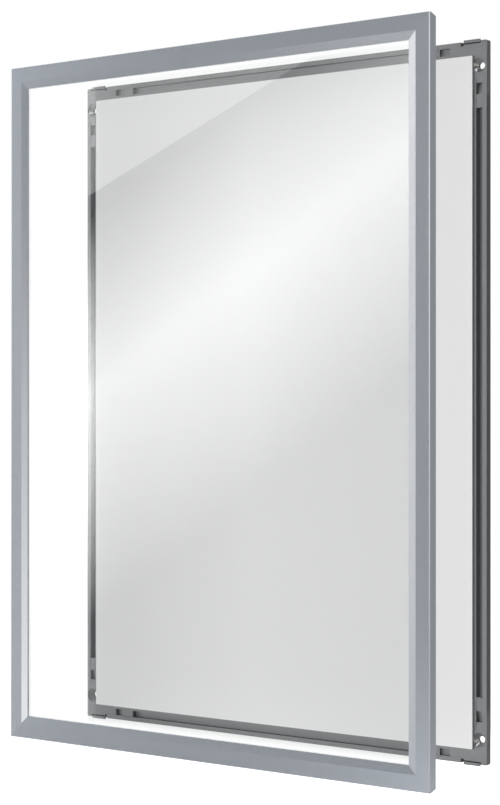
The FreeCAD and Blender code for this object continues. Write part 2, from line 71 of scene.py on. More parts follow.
class Corner(Enum):
    """The four corners, by the words that end their node names."""

    TOP_LEFT = "top_left"
    TOP_RIGHT = "top_right"
    BOTTOM_LEFT = "bottom_left"
    BOTTOM_RIGHT = "bottom_right"


class Grain(Enum):
    """The way that drawn or extruded lines run, as the scale of a pattern's coordinates on each axis."""

    ALONG_X = (GRAIN_SCALE, 1.0, 1.0)
    ALONG_Z = (1.0, 1.0, GRAIN_SCALE)

    @classmethod
    def of(cls, side: Side) -> "Grain":
        """Tells the grain of a length.

        Args:
            side: the side that the length is on.

        Returns:
            Its grain.
        """
        return cls.ALONG_X if side.lies_flat else cls.ALONG_Z


LEVEL_BARS = tuple(f"fascia_{side.value}" for side in Side if side.lies_flat)
MOULDINGS = tuple(f"back_corner_{corner.value}" for corner in Corner)


class Graph:
    """A node tree that is being wired."""

    def __init__(self, tree: bpy.types.NodeTree) -> None:
        """Takes over a tree and empties it.

        Args:
            tree: the node tree of a material, a world or a group.
        """
        self.tree = tree
        tree.nodes.clear()

    def add(
        self,
        kind: str,
        inputs: Mapping[str | int, SocketValue] | None = None,
        **settings: object,
    ) -> bpy.types.Node:
        """Adds a node.

        Args:
            kind: the node's type, without the leading ShaderNode.
            inputs: constants to set or sockets to link, by the input's name or number.
            settings: the node's own properties, such as operation.

        Returns:
            The new node.
        """
        node = self.tree.nodes.new(f"ShaderNode{kind}")
        for name, value in settings.items():
            setattr(node, name, value)
        for name, value in (inputs or {}).items():
            self.fill(node.inputs[name], value)
        return node

    def fill(self, socket: Socket, value: SocketValue) -> None:
        """Links a socket to an input, or sets its constant.

        Args:
            socket: the input to fill.
            value: a number, a colour or another node's output.
        """
        if isinstance(value, Socket):
            self.tree.links.new(value, socket)
        elif isinstance(value, tuple) and len(value) != len(socket.default_value):
            socket.default_value = (*value, 1.0)
        else:
            socket.default_value = value

    def place(self) -> Socket:
        """Adds the object coordinates.

        Returns:
            Their socket.
        """
        return self.add("TexCoord").outputs["Object"]

    def math(
        self, operation: str, first: SocketValue, second: SocketValue = 0.0, third: SocketValue = 0.0
    ) -> Socket:
        """Adds a Math node.

        Args:
            operation: the node's operation.
            first: its first value.
            second: its second value.
            third: its third value, for the operations that take one.

        Returns:
            The result's socket.
        """
        return self.add("Math", {0: first, 1: second, 2: third}, operation=operation).outputs[0]

    def vector(self, operation: str, first: SocketValue, second: SocketValue = (0.0, 0.0, 0.0)) -> Socket:
        """Adds a Vector Math node that puts out a vector.

        Args:
            operation: the node's operation.
            first: its first vector.
            second: its second vector.

        Returns:
            The result's socket.
        """
        return self.add("VectorMath", {0: first, 1: second}, operation=operation).outputs["Vector"]

    def length(self, vector: Socket) -> Socket:
        """Measures a vector.

        Args:
            vector: the vector.

        Returns:
            The socket of its length.
        """
        return self.add("VectorMath", {0: vector}, operation="LENGTH").outputs["Value"]

    def noise(self, vector: Socket, scale: SocketValue, detail: float) -> Socket:
        """Adds a Noise Texture node.

        Args:
            vector: the coordinates.
            scale: how fine the noise is.
            detail: how many finer layers it has.

        Returns:
            The socket of its value.
        """
        return self.add("TexNoise", {"Vector": vector, "Scale": scale, "Detail": detail}).outputs[0]

    def ramp(self, value: SocketValue, span: Pair, out: Pair = RISING) -> Socket:
        """Adds a clamped Map Range node.

        Args:
            value: the value to carry over.
            span: the two ends it comes from.
            out: the two ends it goes to.

        Returns:
            The result's socket.
        """
        ends = {1: span[0], 2: span[1], 3: out[0], 4: out[1]}
        return self.add("MapRange", {0: value, **ends}).outputs[0]

    def blend(self, share: SocketValue, first: SocketValue, second: SocketValue) -> Socket:
        """Adds a colour Mix node.

        Args:
            share: 0 for the first colour, 1 for the second.
            first: the first colour.
            second: the second colour.

        Returns:
            The mixed colour's socket.
        """
        return self.add("Mix", {0: share, 6: first, 7: second}, data_type="RGBA").outputs[2]

    def off_lines(self, place: Socket, point: Point, across: Point) -> Socket:
        """Measures how far a place lies from a straight line and its mirror images about the middle.

        Args:
            place: the place.
            point: a point on the line, with no coordinate below 0.
            across: 1 for the two axes that lie across the line, 0 for the one along it.

        Returns:
            The distance's socket.
        """
        offset = self.vector("SUBTRACT", self.vector("ABSOLUTE", place), point)
        return self.length(self.vector("MULTIPLY", offset, across))


def new_material(name: str) -> tuple[bpy.types.Material, Graph]:
    """Makes an empty material.

    Args:
        name: its name.

    Returns:
        The material and its graph.
    """
    made = bpy.data.materials.new(name)
    made.use_nodes = True
    return made, Graph(made.node_tree)


def effect_group(
    name: str,
    scale: str,
    outputs: tuple[str, ...],
    wire: Callable[[Graph, Socket, Socket], tuple[Socket, ...]],
) -> bpy.types.NodeTree:
    """Builds a shared effect as a node group, once.

    Args:
        name: the group's name.
        scale: the name of the number input that tells how fine the effect is.
        outputs: the names of the values that it puts out.
        wire: fills the group, from its coordinates and its scale, and returns its outputs in order.

    Returns:
        The group.
    """
    group = bpy.data.node_groups.get(name)
    if group is not None:
        return group
    group = bpy.data.node_groups.new(name, "ShaderNodeTree")
    group.interface.new_socket("Vector", in_out="INPUT", socket_type="NodeSocketVector")
    group.interface.new_socket(scale, in_out="INPUT", socket_type="NodeSocketFloat")
    for label in outputs:
        group.interface.new_socket(label, in_out="OUTPUT", socket_type="NodeSocketFloat")
    graph = Graph(group)
    entry = group.nodes.new("NodeGroupInput")
    leave = group.nodes.new("NodeGroupOutput")
    for label, result in zip(outputs, wire(graph, entry.outputs["Vector"], entry.outputs[scale])):
        group.links.new(result, leave.inputs[label])
    return group


def drawn_lines() -> bpy.types.NodeTree:
    """The fine lines that a die leaves along a length.

    The height is noise on coordinates that come squeezed along the length, with a coarser set of
    streaks laid over the fine one; the tone is the coarse set alone.

    Returns:
        The group, with Height and Tone from 0 to 1.
    """
    streak_scale, streak_height, full_height = 0.13, 0.6, 0.62
    tone_span = (0.3, 0.7)

    def wire(graph: Graph, place: Socket, lines_per_metre: Socket) -> tuple[Socket, ...]:
        """Wires the two sets of streaks.

        Args:
            graph: the group's graph.
            place: the coordinates.
            lines_per_metre: how close together the fine lines lie.

        Returns:
            The sockets of the height and the tone.
        """
        fine = graph.noise(place, lines_per_metre, detail=2.0)
        broad = graph.noise(place, graph.math("MULTIPLY", lines_per_metre, streak_scale), detail=3.0)
        height = graph.math("MULTIPLY_ADD", broad, streak_height, fine)
        return graph.math("MULTIPLY", height, full_height), graph.ramp(broad, tone_span)

    return effect_group("drawn_lines", "Lines per metre", ("Height", "Tone"), wire)


def moulded_grain() -> bpy.types.NodeTree:
    """The fine stipple that a spark-eroded mould leaves on plastic.

    The height is the smooth distance to scattered cell centres with fine noise over it.

    Returns:
        The group, with Height and Tone from 0 to 1.
    """
    noise_scale, cell_height, noise_height = 0.7, 0.5, 0.5
    tone_span = (0.3, 0.7)

    def wire(graph: Graph, place: Socket, cells_per_metre: Socket) -> tuple[Socket, ...]:
        """Wires the cells and the noise over them.

        Args:
            graph: the group's graph.
            place: the coordinates.
            cells_per_metre: how close together the cells lie.

        Returns:
            The sockets of the height and the tone.
        """
        cells = graph.add("TexVoronoi", {"Vector": place, "Scale": cells_per_metre}, feature="SMOOTH_F1")
        noise = graph.noise(place, graph.math("MULTIPLY", cells_per_metre, noise_scale), detail=4.0)
        rough = graph.math("MULTIPLY", noise, noise_height)
        height = graph.math("MULTIPLY_ADD", cells.outputs["Distance"], cell_height, rough)
        return height, graph.ramp(noise, tone_span)

    return effect_group("moulded_grain", "Cells per metre", ("Height", "Tone"), wire)


def soft_mottle() -> bpy.types.NodeTree:
    """Broad, faint unevenness, as handling and cooling leave on any surface.

    Returns:
        The group, with a Mask from 0 to 1.
    """
    mask_span = (0.34, 0.66)

    def wire(graph: Graph, place: Socket, patches_per_metre: Socket) -> tuple[Socket, ...]:
        """Wires the broad noise.

        Args:
            graph: the group's graph.
            place: the coordinates.
            patches_per_metre: how close together the patches lie.

        Returns:
            The socket of the mask.
        """
        return (graph.ramp(graph.noise(place, patches_per_metre, detail=2.0), mask_span),)

    return effect_group("soft_mottle", "Patches per metre", ("Mask",), wire)


@dataclass(frozen=True)
class Finish:
    """A surface finish: one material, made of a colour, a gloss and the texture of its making.

    Attributes:
        name: the material's name.
        colour: the colour in the hollows of the texture.
        crest: the colour on its crests.
        roughness: the lowest and highest roughness.
        relief: the height of the texture, in metres.
        metallic: 1 for bare metal.
        specular: the reflection level of the clear surface, 0.5 for common plastics.
        cells_per_metre: how close together the cells of a moulded texture lie.
        patches_per_metre: how close together the patches of the mottle lie.
    """

    name: str
    colour: Colour
    crest: Colour
    roughness: Pair
    relief: float
    metallic: float = 0.0
    specular: float = 0.5
    cells_per_metre: float = 3200.0
    patches_per_metre: float = 22.0

    def smoothed(self, graph: Graph, place: Socket, roughness: Socket) -> Socket:
        """Lets a finish smooth part of the piece; a plain finish is the same all over.

        Args:
            graph: the material's graph.
            place: the object coordinates.
            roughness: the roughness of the texture.

        Returns:
            The socket of the roughness.
        """
        return roughness

    def tinted(self, graph: Graph, place: Socket, colour: Socket) -> Socket:
        """Lets a finish colour part of the piece; a plain finish is the same all over.

        Args:
            graph: the material's graph.
            place: the object coordinates.
            colour: the colour of the texture.

        Returns:
            The socket of the colour.
        """
        return colour

    def texture(self, graph: Graph, place: Socket) -> tuple[Socket, Socket]:
        """Adds the texture of the finish.

        Args:
            graph: the material's graph.
            place: the object coordinates.

        Returns:
            The sockets of its height and its tone.
        """
        inputs = {"Vector": place, "Cells per metre": self.cells_per_metre}
        grain = graph.add("Group", inputs, node_tree=moulded_grain())
        return grain.outputs["Height"], grain.outputs["Tone"]

    def material(self) -> bpy.types.Material:
        """Makes the material, or finds it if it is made already.

        Returns:
            The material.
        """
        made = bpy.data.materials.get(self.name)
        if made is not None:
            return made
        made, graph = new_material(self.name)
        place = graph.place()
        height, tone = self.texture(graph, place)
        inputs = {"Vector": place, "Patches per metre": self.patches_per_metre}
        mottle = graph.add("Group", inputs, node_tree=soft_mottle()).outputs["Mask"]
        gloss = graph.math("MULTIPLY", graph.math("ADD", tone, mottle), 0.5)
        bump = graph.add("Bump", {"Height": height, "Distance": self.relief})
        shader = graph.add(
            "BsdfPrincipled",
            {
                "Base Color": self.tinted(graph, place, graph.blend(tone, self.colour, self.crest)),
                "Roughness": self.smoothed(graph, place, graph.ramp(gloss, RISING, self.roughness)),
                "Metallic": self.metallic,
                "Specular IOR Level": self.specular,
                "Normal": bump.outputs[0],
            },
        )
        graph.add("OutputMaterial", {"Surface": shader.outputs[0]})
        return made


@dataclass(frozen=True)
class DrawnFinish(Finish):
    """A finish with fine lines along the length of the piece.

    Attributes:
        grain: the way that the lines run.
        lines_per_metre: how close together they lie.
    """

    grain: Grain = Grain.ALONG_X
    lines_per_metre: float = 5000.0

    def texture(self, graph: Graph, place: Socket) -> tuple[Socket, Socket]:
        """Adds the drawn lines, stretched along the length.

        Args:
            graph: the material's graph.
            place: the object coordinates.

        Returns:
            The sockets of its height and its tone.
        """
        stretch = graph.add("Mapping", {"Vector": place, "Scale": self.grain.value})
        inputs = {"Vector": stretch.outputs[0], "Lines per metre": self.lines_per_metre}
        lines = graph.add("Group", inputs, node_tree=drawn_lines())
        return lines.outputs["Height"], lines.outputs["Tone"]


@dataclass(frozen=True)
class AnodisedFinish(DrawnFinish):
    """Satin anodising, with a painted highlight: a bright line painted just inside the fascia's two
    upright outer front edges, brighter towards the top.

    Attributes:
        edge_colour: the colour of the painted highlight.
        edge_inset: how far inside the edge the middle of the painted highlight lies, in metres.
        edge_reach: how far from its middle the painted highlight goes.
        edge_blend: over how far it ends.
        edge_span: the heights between which the painted highlight gets brighter.
        edge_foot: how bright the painted highlight is at the lower of the two, as a share of the full
            colour.
    """

    edge_colour: Colour = (0.93, 0.94, 0.95)
    edge_inset: float = 0.0007
    edge_reach: float = 0.00035
    edge_blend: float = 0.00015
    edge_span: Pair = (-0.32, 0.12)
    edge_foot: float = 0.1

    def tinted(self, graph: Graph, place: Socket, colour: Socket) -> Socket:
        """Paints a highlight: brightens whatever lies just inside the line where the front meets the
        outer side.

        Args:
            graph: the material's graph.
            place: the object coordinates.
            colour: the colour of the texture.

        Returns:
            The socket of the colour.
        """
        low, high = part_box("fascia_right")
        reach = graph.off_lines(place, (high.x - self.edge_inset, -low.y, 0.0), (1.0, 1.0, 0.0))
        # Painted highlight: a bright line just inside the outer front edge, fainter towards the bottom.
        painted_highlight = graph.ramp(reach, (self.edge_reach, self.edge_reach + self.edge_blend), FALLING)
        height = graph.add("SeparateXYZ", {0: place}).outputs["Z"]
        share = graph.math("MULTIPLY", painted_highlight, graph.ramp(height, self.edge_span, (self.edge_foot, 1.0)))
        return graph.blend(share, colour, self.edge_colour)


@dataclass(frozen=True)
class SeatedMoulding(Finish):
    """A moulded finish that is polished in the seats of the four wall screws.

    Attributes:
        seat: the seat's radius, in metres.
        seat_blend: over how far the polish ends.
        polish: the roughness in the seat.
    """

    seat: float = 0.0063
    seat_blend: float = 0.0001
    polish: float = 0.16

    def smoothed(self, graph: Graph, place: Socket, roughness: Socket) -> Socket:
        """Polishes whatever lies within the seat's radius of a screw's axis.

        Args:
            graph: the material's graph.
            place: the object coordinates.
            roughness: the roughness of the texture.

        Returns:
            The socket of the roughness.
        """
        mounts = {mount["name"]: mount for mount in frame["record"]["mounts"]}
        spacing = mounts["wall_screws"]["dims"]
        half_x, half_z = (spacing[f"spacing_{axis}_mm"] * MILLIMETRE / 2.0 for axis in "xy")
        reach = graph.off_lines(place, (half_x, 0.0, half_z), (1.0, 0.0, 1.0))
        outside = graph.ramp(reach, (self.seat, self.seat + self.seat_blend))
        rougher = graph.math("SUBTRACT", roughness, self.polish)
        return graph.math("MULTIPLY_ADD", rougher, outside, self.polish)


@dataclass(frozen=True)
class ClearSheet:
    """A clear, glossy plastic sheet, very slightly wavy.

    Attributes:
        name: the material's name.
        tint: the colour of the light that it lets through.
        roughness: its gloss.
        ior: its index of refraction.
        wave_height: the height of its waves, in metres.
        waves_per_metre: how many waves there are.
    """

    name: str = "clear_sheet_gloss"
    tint: Colour = (0.9, 0.91, 0.905)
    roughness: float = 0.0
    ior: float = 1.49
    wave_height: float = 0.00001
    waves_per_metre: float = 7.0

    def material(self) -> bpy.types.Material:
        """Makes the material.

        Returns:
            The material.
        """
        made, graph = new_material(self.name)
        waves = graph.noise(graph.place(), self.waves_per_metre, detail=1.0)
        bump = graph.add("Bump", {"Height": waves, "Distance": self.wave_height})
        shader = graph.add(
            "BsdfPrincipled",
            {
                "Base Color": self.tint,
                "Roughness": self.roughness,
                "IOR": self.ior,
                "Transmission Weight": 1.0,
                "Normal": bump.outputs[0],
            },
        )
        graph.add("OutputMaterial", {"Surface": shader.outputs[0]})
        return made


def anodised(grain: Grain) -> AnodisedFinish:
    """The fascia's satin silver anodising.

    Args:
        grain: the way that the bar runs.

    Returns:
        The finish.
    """
    return AnodisedFinish(
        name=f"satin_anodising_{grain.name.lower()}",
        colour=(0.355, 0.381, 0.418),
        crest=(0.364, 0.39, 0.427),
        roughness=(0.22, 0.25),
        relief=0.0000006,
        metallic=1.0,
        grain=grain,
        lines_per_metre=6500.0,
    )


def extruded(grain: Grain) -> DrawnFinish:
    """The back rails' grey extruded plastic.

    Args:
        grain: the way that the rail runs.

    Returns:
        The finish.
    """
    return DrawnFinish(
        name=f"grey_extrusion_{grain.name.lower()}",
        colour=(0.217, 0.224, 0.231),
        crest=(0.231, 0.238, 0.245),
        roughness=(0.42, 0.5),
        relief=0.000003,
        specular=0.25,
        grain=grain,
        lines_per_metre=1800.0,
    )


GREY_MOULDING = SeatedMoulding(
    name="grey_moulding_stipple",
    colour=(0.207, 0.214, 0.221),
    crest=(0.223, 0.23, 0.237),
    roughness=(0.36, 0.46),
    relief=0.000008,
    specular=0.5,
)
WHITE_PANEL = Finish(
    name="white_panel_matt",
    colour=(0.8, 0.8, 0.8),
    crest=(0.82, 0.82, 0.82),
    roughness=(0.5, 0.6),
    relief=0.000006,
    specular=0.3,
)
CAST_ZINC = Finish(
    name="cast_zinc",
    colour=(0.44, 0.45, 0.46),
    crest=(0.56, 0.57, 0.58),
    roughness=(0.42, 0.58),
    relief=0.00002,
    metallic=1.0,
)
BLACK_STEEL = Finish(
    name="black_steel",
    colour=(0.05, 0.05, 0.055),
    crest=(0.08, 0.08, 0.085),
    roughness=(0.3, 0.42),
    relief=0.000004,
    metallic=1.0,
)


def dress(node: str, material: bpy.types.Material) -> None:
    """Puts a material on a CAD node.

    Args:
        node: the node's name.
        material: the material for all of it.
    """
    slots = frame["nodes"][node].data.materials
    slots.clear()
    slots.append(material)
    LOG.info("%s wears %s", node, material.name)


@dataclass
class Fascia:
    """The front: four mitred bars, the keys and screws that join them, and the clear pane.

    Attributes:
        keys: the finish of the corner keys.
        screws: the finish of the grub screws.
        pane: the finish of the pane.
    """

    keys: Finish = CAST_ZINC
    screws: Finish = BLACK_STEEL
    pane: ClearSheet = ClearSheet()

    def dress(self) -> None:
        """Dresses the bars, the keys, the screws and the pane."""
        for side in Side:
            dress(f"fascia_{side.value}", anodised(Grain.of(side)).material())
        for corner in Corner:
            dress(f"corner_key_{corner.value}", self.keys.material())
        dress("key_screws", self.screws.material())
        dress("clear_pane", self.pane.material())
        frame["nodes"]["clear_pane"].visible_shadow = False


@dataclass
class Back:
    """The back on the wall: rails, corner mouldings with their snap tongues, and the white panel.

    Attributes:
        moulding: the finish of the mouldings and the tongues.
        panel: the finish of the panel.
    """

    moulding: Finish = GREY_MOULDING
    panel: Finish = WHITE_PANEL

    def dress(self) -> None:
        """Dresses the rails, the mouldings, the tongues and the panel."""
        for side in Side:
            dress(f"back_rail_{side.value}", extruded(Grain.of(side)).material())
        for corner in Corner:
            dress(f"back_corner_{corner.value}", self.moulding.material())
            dress(f"snap_tongue_{corner.value}", self.moulding.material())
        dress("backing_panel", self.panel.material())


@dataclass
class Eye:
    """The camera, level with the middle of the frame and to its right.

    Attributes:
        place: where it stands.
        azimuth: how far it has gone round to the right, in degrees.
        lens: its focal length on a 36 mm sensor, in millimetres.
        shift: how far the picture is shifted sideways, as a share of its long side.
    """

    place: Point = (0.9695, -1.3966, 0.0)
    azimuth: float = 34.383
    lens: float = 82.23
    shift: float = -0.0484

    def build(self) -> None:
        """Makes the camera and gives it to the scene."""
        data = bpy.data.cameras.new("eye")
        data.lens = self.lens
        data.shift_x = self.shift
        camera = bpy.data.objects.new("eye", data)
        camera.location = self.place
        camera.rotation_euler = (math.radians(90.0), 0.0, math.radians(self.azimuth))
        bpy.context.scene.collection.objects.link(camera)
        bpy.context.scene.camera = camera


def gather(name: str, nodes: tuple[str, ...]) -> bpy.types.Collection:
    """Gathers CAD nodes in a collection that a light can be linked to.

    Args:
        name: the collection's name.
        nodes: the names of the nodes.

    Returns:
        The collection.
    """
    made = bpy.data.collections.new(name)
    for node in nodes:
        made.objects.link(frame["nodes"][node])
    return made


def flat_sheet(name: str, size: Pair, level: float, material: bpy.types.Material) -> bpy.types.Object:
    """Makes a flat rectangle and puts it in the scene.

    Args:
        name: its name.
        size: its width and its height.
        level: its place along its own Z.
        material: its material.

    Returns:
        The rectangle.
    """
    half_width, half_height = size[0] / 2.0, size[1] / 2.0
    signs = ((-1, -1), (1, -1), (1, 1), (-1, 1))
    corners = [(u * half_width, v * half_height, level) for u, v in signs]
    mesh = bpy.data.meshes.new(name)
    mesh.from_pydata(corners, [], [(0, 1, 2, 3)])
    mesh.materials.append(material)
    sheet = bpy.data.objects.new(name, mesh)
    bpy.context.scene.collection.objects.link(sheet)
    return sheet


@dataclass(frozen=True)
class Lamp:
    """A soft lamp that looks at the middle of the frame, and that no reflection shows.

    Attributes:
        name: the lamp's name.
        place: where it hangs.
        size: its width and its height.
        watts: its power.
        passes: the nodes that cast no shadow in its light.
    """

    name: str
    place: Point
    size: Pair
    watts: float
    passes: tuple[str, ...] = ()

    def build(self) -> None:
        """Makes the lamp."""
        data = bpy.data.lights.new(self.name, "AREA")
        data.shape = "RECTANGLE"
        data.size, data.size_y = self.size
        data.energy = self.watts
        lamp = bpy.data.objects.new(self.name, data)
        lamp.location = self.place
        lamp.rotation_mode = "QUATERNION"
        lamp.rotation_quaternion = (-Vector(self.place)).to_track_quat("-Z", "Y")
        lamp.visible_glossy = False
        lamp.visible_transmission = False
        if self.passes:
            shadows = gather(self.name, self.passes)
            for member in shadows.collection_objects:
                member.light_linking.link_state = "EXCLUDE"
            lamp.light_linking.blocker_collection = shadows
        bpy.context.scene.collection.objects.link(lamp)


class SeenBy(Enum):
    """Which surface a reflection card is for: the light path tells satin metal from a sharp mirror."""

    SATIN = "satin"
    PANE = "pane"


@dataclass(frozen=True)
class Card:
    """A glowing card that only reflections show.

    Attributes:
        name: the card's name.
        place: its middle.
        across: the direction of its width.
        width: its width.
        height: its height.
        seen_by: the surface that reflects it.
        nodes: the nodes that reflect it, or none where all do.
        tint: the colour of its light.
        up: the direction of its height.
    """

    name: str
    place: Point
    across: Point
    width: float
    height: float
    seen_by: SeenBy = SeenBy.SATIN
    nodes: tuple[str, ...] = ()
    tint: Colour = WHITE
    up: Point = (0.0, 0.0, 1.0)

    def build(self) -> None:
        """Makes the card as one flat sheet with its glow."""
        card = flat_sheet(self.name, (self.width, self.height), 0.0, self.material())
        across, up = Vector(self.across).normalized(), Vector(self.up)
        card.matrix_world = Matrix((across, up, across.cross(up))).transposed().to_4x4()
        card.location = self.place
        card.visible_camera = False
        card.visible_diffuse = False
        card.visible_shadow = False
        if self.nodes:
            card.light_linking.receiver_collection = gather(self.name, self.nodes)

    def shown(self, graph: Graph) -> Socket:
        """Picks out the rays of the surface that the card is for.

        Args:
            graph: the card's graph.

        Returns:
            A socket with 1 for those rays and 0 for the rest.
        """
        path = graph.add("LightPath")
        bounced = graph.math("GREATER_THAN", path.outputs["Glossy Depth"], 0.5)
        sharp = path.outputs["Is Singular Ray"]
        if self.seen_by is SeenBy.SATIN:
            sharp = graph.math("SUBTRACT", 1.0, sharp)
        return graph.math("MULTIPLY", bounced, sharp)

    def glow(self, graph: Graph, u: Socket, v: Socket) -> tuple[SocketValue, SocketValue]:
        """Works out the card's light.

        Args:
            graph: the card's graph.
            u: the place across the card from its middle, in metres.
            v: the place up the card from its middle, in metres.

        Returns:
            The strength of the light, and the share of the room behind that the card hides.
        """
        raise NotImplementedError

    def material(self) -> bpy.types.Material:
        """Makes the card's material, which adds its light to the room's for the rays that it is for.

        Returns:
            The material.
        """
        made, graph = new_material(self.name)
        made.cycles.emission_sampling = "NONE"
        parts = graph.add("SeparateXYZ", {0: graph.place()})
        strength, hidden = self.glow(graph, parts.outputs["X"], parts.outputs["Y"])
        shown = self.shown(graph)
        strength = graph.math("MULTIPLY", shown, strength)
        light = graph.add("Emission", {"Color": self.tint, "Strength": strength})
        through = graph.math("SUBTRACT", 1.0, graph.math("MULTIPLY", shown, hidden))
        room = graph.add("BsdfTransparent", {"Color": through})
        both = graph.add("AddShader", {0: room.outputs[0], 1: light.outputs[0]})
        graph.add("OutputMaterial", {"Surface": both.outputs[0]})
        return made


@dataclass(frozen=True)
class SoftCard(Card):
    """A card with soft edges whose light changes evenly from its foot to its head.

    Attributes:
        foot: the light that it adds at its lower edge.
        head: the light that it adds at its upper edge.
        softness: how far in from the edges it fades.
        hides: the share of the room behind that it hides.
    """

    foot: float = 0.0
    head: float = 0.0
    softness: float = 0.2
    hides: float = 0.0

    def faded(self, graph: Graph, place: Socket, half: float) -> Socket:
        """Fades the card out along one of its directions.

        Args:
            graph: the card's graph.
            place: the place along that direction from the middle.
            half: half of the card's size along it.

        Returns:
            A socket with 1 in the middle and 0 at the edges.
        """
        return graph.ramp(graph.math("ABSOLUTE", place), (half - self.softness, half), FALLING)

    def glow(self, graph: Graph, u: Socket, v: Socket) -> tuple[SocketValue, SocketValue]:
        """Fades the card out at its edges.

        Args:
            graph: the card's graph.
            u: the place across the card from its middle, in metres.
            v: the place up the card from its middle, in metres.

        Returns:
            The strength of the light, and the share of the room behind that the card hides.
        """
        half_width, half_height = self.width / 2.0, self.height / 2.0
        strength = graph.ramp(v, (-half_height, half_height), (self.foot, self.head))
        fade_u = self.faded(graph, u, half_width)
        fade = graph.math("MULTIPLY", fade_u, self.faded(graph, v, half_height))
        return graph.math("MULTIPLY", strength, fade), graph.math("MULTIPLY", fade, self.hides)


@dataclass(frozen=True)
class GlareCard(Card):
    """The card that the pane mirrors: a bright corner and a soft band that slants across.

    The band is a tent: its light falls evenly from a ridge line to the base light on either side.
    Band and corner are stronger past the panel's left edge, where the pane covers the rail. Where it
    covers the room beside, above and under the back, the light has a lower limit.

    Attributes:
        ridge: a point on the ridge line, across and up the card.
        ridge_slope: how steeply the ridge rises to the right, in degrees.
        ridge_strength: the light on the ridge.
        above: how far above the ridge its light reaches.
        below: how far below the ridge it reaches.
        corner: a point on the edge of the bright corner.
        corner_slope: how steeply that edge rises to the right, in degrees.
        corner_strength: the light in the corner.
        corner_rail: the light that the corner adds on the rail.
        rail: where the rail starts, across the card.
        rail_blend: over how far the light changes there.
        rail_gain: how much stronger the band is on the rail.
        rail_base: the light on the rail beside the band, added to the base.
        room: where the room starts, across the card.
        brink: a point on the back's upper edge, where the room starts above and, mirrored, below.
        brink_slope: how steeply that edge rises to the right, in degrees.
        brink_blend: over how far the room's light starts there.
        room_strength: the least light over the room.
        base: the light elsewhere.
    """

    ridge: Pair = (0.25, 0.549)
    ridge_slope: float = 38.3
    ridge_strength: float = 3.8
    above: float = 0.31
    below: float = 0.38
    corner: Pair = (0.024, 0.736)
    corner_slope: float = 31.9
    corner_strength: float = 1.5
    corner_rail: float = 1.0
    rail: float = -0.4176
    rail_blend: float = 0.008
    rail_gain: float = 2.25
    rail_base: float = 0.5
    room: float = -0.437
    brink: Pair = (-0.089, 0.727)
    brink_slope: float = 7.13
    brink_blend: float = 0.012
    room_strength: float = 2.2
    base: float = 0.15

    @staticmethod
    def over(graph: Graph, u: Socket, v: Socket, point: Pair, slope: float) -> Socket:
        """Measures how far a place lies above a slanting line, square to it.

        Args:
            graph: the card's graph.
            u: the place across the card.
            v: the place up the card.
            point: a point on the line.
            slope: how steeply the line rises to the right, in degrees.

        Returns:
            The distance's socket, below 0 under the line.
        """
        angle = math.radians(slope)
        rise = graph.math("MULTIPLY", graph.math("SUBTRACT", v, point[1]), math.cos(angle))
        run = graph.math("MULTIPLY", graph.math("SUBTRACT", u, point[0]), math.sin(angle))
        return graph.math("SUBTRACT", rise, run)

    def glow(self, graph: Graph, u: Socket, v: Socket) -> tuple[SocketValue, SocketValue]:
        """Lays the band, the bright corner and the room's light over the base light.

        Args:
            graph: the card's graph.
            u: the place across the card from its middle, in metres.
            v: the place up the card from its middle, in metres.

        Returns:
            The strength of the light, and the share of the room behind that the card hides.
        """
        distance = self.over(graph, u, v, self.ridge, self.ridge_slope)
        upper = graph.ramp(distance, (0.0, self.above), FALLING)
        lower = graph.ramp(distance, (-self.below, 0.0))
        tent = graph.math("MINIMUM", upper, lower)
        edge = (self.rail - self.rail_blend, self.rail)
        gain = graph.ramp(u, edge, (self.rail_gain, 1.0))
        ridge = graph.math("MULTIPLY", tent, self.ridge_strength - self.base)
        base = graph.ramp(u, edge, (self.base + self.rail_base, self.base))
        band = graph.math("MULTIPLY_ADD", ridge, gain, base)
        past_corner = self.over(graph, u, v, self.corner, self.corner_slope)
        in_corner = graph.math("GREATER_THAN", past_corner, 0.0)
        full = graph.ramp(u, edge, (self.corner_strength + self.corner_rail, self.corner_strength))
        light = graph.math("MAXIMUM", band, graph.math("MULTIPLY", in_corner, full))
        past_brink = self.over(graph, u, graph.math("ABSOLUTE", v), self.brink, self.brink_slope)
        beyond = graph.ramp(past_brink, (0.0, self.brink_blend))
        in_room = graph.math("MAXIMUM", graph.math("LESS_THAN", u, self.room), beyond)
        return graph.math("MAXIMUM", light, graph.math("MULTIPLY", in_room, self.room_strength)), 1.0


